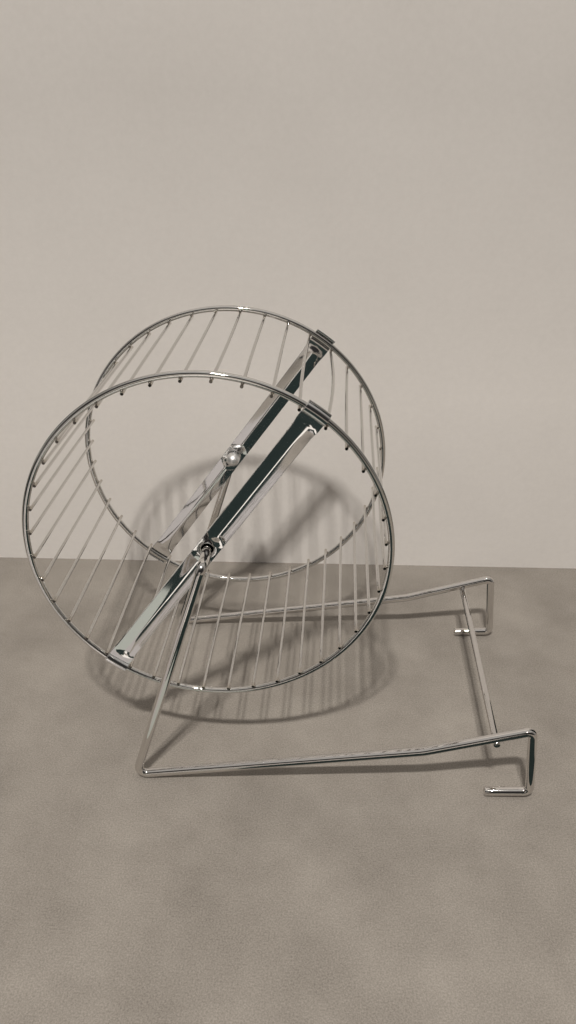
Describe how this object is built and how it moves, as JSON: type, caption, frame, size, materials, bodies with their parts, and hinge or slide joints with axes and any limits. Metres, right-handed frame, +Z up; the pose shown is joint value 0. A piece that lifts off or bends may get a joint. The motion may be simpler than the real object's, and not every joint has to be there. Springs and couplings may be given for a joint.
{
  "type": "rodent exercise wheel",
  "caption": "Rodent exercise wheel: a drum of welded chromed wire with a pressed sheet bar across each side, turning freely on the pins of a bent-wire stand with hooks at its rear.",
  "frame": {"origin": "on the floor that the feet and hook ends stand on, under the middle of the overall box", "axes": "+Z up; +X along the stand's base, from the feet to the hooks; +Y along the axle, away from the front"},
  "size_m": [0.2476, 0.1362, 0.215],
  "materials": {
    "rim_chrome": "bright chrome plate on drawn steel wire, mirror-like with fine drawing lines along the wire",
    "rung_chrome": "bright chrome plate on thin drawn steel wire, slightly duller than the rims",
    "bar_chrome": "bright chrome plate on pressed sheet steel, with faint roll lines",
    "stand_chrome": "bright chrome plate on heavy drawn steel wire, mirror-like"
  },
  "bodies": {
    "stand": {"front_stand_wire": "stand_chrome", "back_stand_wire": "stand_chrome", "cross_wire": "stand_chrome"},
    "wheel": {"front_rim": "rim_chrome", "back_rim": "rim_chrome", "rung_01": "rung_chrome", "rung_02": "rung_chrome", "rung_03": "rung_chrome", "rung_04": "rung_chrome", "rung_05": "rung_chrome", "rung_06": "rung_chrome", "rung_07": "rung_chrome", "rung_08": "rung_chrome", "rung_09": "rung_chrome", "rung_10": "rung_chrome", "rung_11": "rung_chrome", "rung_12": "rung_chrome", "rung_13": "rung_chrome", "rung_14": "rung_chrome", "rung_15": "rung_chrome", "rung_16": "rung_chrome", "rung_17": "rung_chrome", "rung_18": "rung_chrome", "rung_19": "rung_chrome", "rung_20": "rung_chrome", "rung_21": "rung_chrome", "rung_22": "rung_chrome", "rung_23": "rung_chrome", "rung_24": "rung_chrome", "rung_25": "rung_chrome", "rung_26": "rung_chrome", "rung_27": "rung_chrome", "rung_28": "rung_chrome", "rung_29": "rung_chrome", "rung_30": "rung_chrome", "rung_31": "rung_chrome", "rung_32": "rung_chrome", "rung_33": "rung_chrome", "rung_34": "rung_chrome", "rung_35": "rung_chrome", "rung_36": "rung_chrome", "rung_37": "rung_chrome", "rung_38": "rung_chrome", "rung_39": "rung_chrome", "rung_40": "rung_chrome", "front_spoke_bar": "bar_chrome", "back_spoke_bar": "bar_chrome"}
  },
  "joints": [
    {"name": "wheel_spin", "type": "hinge", "parent": "stand", "child": "wheel", "pos_m": [-0.03884, 0, 0.12999], "axis": [0, 1, 0], "continuous": true}
  ]
}
